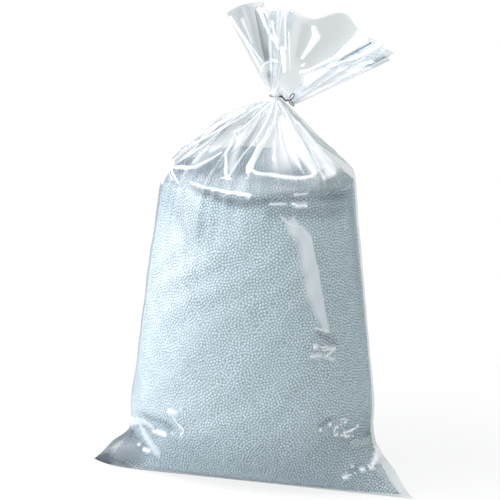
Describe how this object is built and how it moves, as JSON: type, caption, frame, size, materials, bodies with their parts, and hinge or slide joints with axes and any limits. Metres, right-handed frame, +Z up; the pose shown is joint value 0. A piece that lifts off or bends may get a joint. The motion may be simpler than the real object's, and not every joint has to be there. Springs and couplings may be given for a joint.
{
  "type": "bag of polystyrene beads",
  "caption": "Clear plastic film bag filled with small white polystyrene beads, gathered at the neck under a flared frill and closed with a twisted wire tie.",
  "frame": {"origin": "on the floor under the middle of the bag, half way between the two ears", "axes": "+Z up, +X from the left ear to the right ear, the bag's front faces -Y"},
  "size_m": [0.4, 0.2147, 0.5721],
  "materials": {
    "clear_film": "clear glossy thin film",
    "white_beads": "matt white expanded beads",
    "tie_wire": "dark annealed wire"
  },
  "bodies": {
    "root": {"bag_film": "clear_film", "bead_fill": "white_beads", "wire_tie": "tie_wire"}
  },
  "joints": []
}
